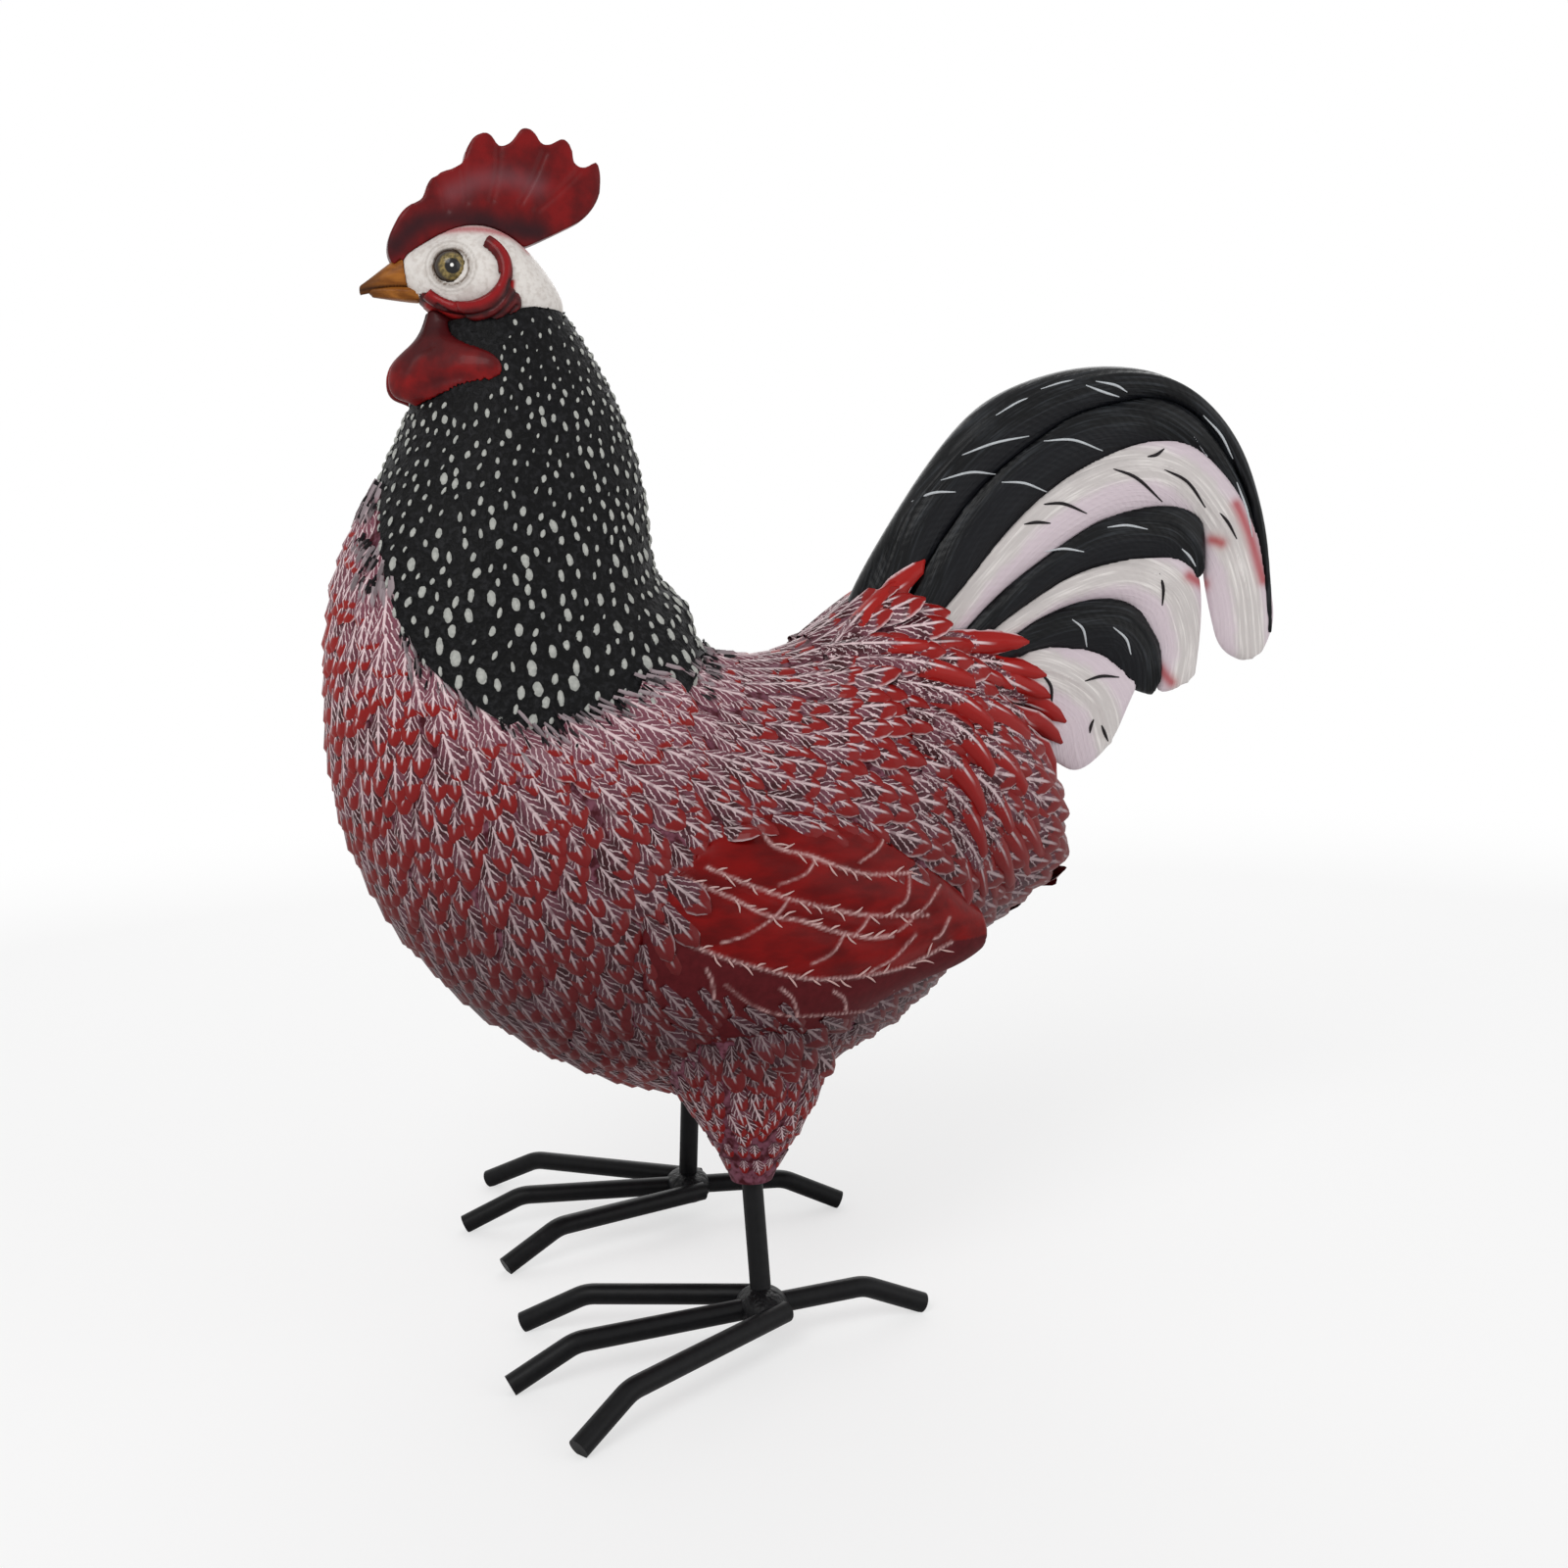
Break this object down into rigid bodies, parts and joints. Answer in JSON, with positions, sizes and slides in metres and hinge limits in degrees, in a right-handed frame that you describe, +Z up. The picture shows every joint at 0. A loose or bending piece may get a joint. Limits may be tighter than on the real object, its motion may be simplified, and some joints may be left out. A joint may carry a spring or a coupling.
{
  "type": "rooster ornament",
  "caption": "Cast and painted rooster ornament with a spotted neck cape and arched tail feathers, standing on welded feet of bent steel rod.",
  "frame": {"origin": "on the ground plane that the toes rest on, under the middle of the whole figure's box", "axes": "+X toward the tail and -X toward the beak, +Y toward the rooster's right side so that Y = 0 is its mirror plane, +Z up"},
  "size_m": [0.2936, 0.2074, 0.3401],
  "materials": {
    "red_plumage": "deep red satin paint on cast resin, dry-brushed with thin white feather lines",
    "wing_red": "glossy deep red paint on cast resin, fine white outlines on each long feather",
    "black_plumage": "satin black paint on cast resin, white spots on the cape and white strokes on the tail",
    "white_plumage": "white paint with a pinkish wash and thin black strokes",
    "white_head": "white satin paint, pinkish along the comb",
    "red_skin": "dark red paint, grainy, with a sooty wash low on the comb",
    "ochre_beak": "ochre paint, darker at the mouth line",
    "eye_paint": "glossy ochre iris round a black pupil",
    "black_rod": "satin black paint on bent and welded steel rod"
  },
  "bodies": {
    "root": {"body_casting": "red_plumage", "neck_cape": "black_plumage", "head_casting": "white_head", "comb": "red_skin", "upper_beak": "ochre_beak", "lower_beak": "ochre_beak", "left_wing": "wing_red", "right_wing": "wing_red", "left_eye": "eye_paint", "right_eye": "eye_paint", "left_face_ring": "red_skin", "right_face_ring": "red_skin", "left_wattle": "red_skin", "right_wattle": "red_skin", "left_leg_rod": "black_rod", "right_leg_rod": "black_rod", "left_middle_toe": "black_rod", "right_middle_toe": "black_rod", "left_inner_toe": "black_rod", "right_inner_toe": "black_rod", "left_outer_toe": "black_rod", "right_outer_toe": "black_rod", "left_ankle_weld": "black_rod", "right_ankle_weld": "black_rod", "black_upper_feather": "black_plumage", "black_inner_feather": "black_plumage", "black_middle_feather": "black_plumage", "black_lower_feather": "black_plumage", "white_upper_feather": "white_plumage", "white_middle_feather": "white_plumage", "white_lower_feather": "white_plumage"}
  },
  "joints": []
}
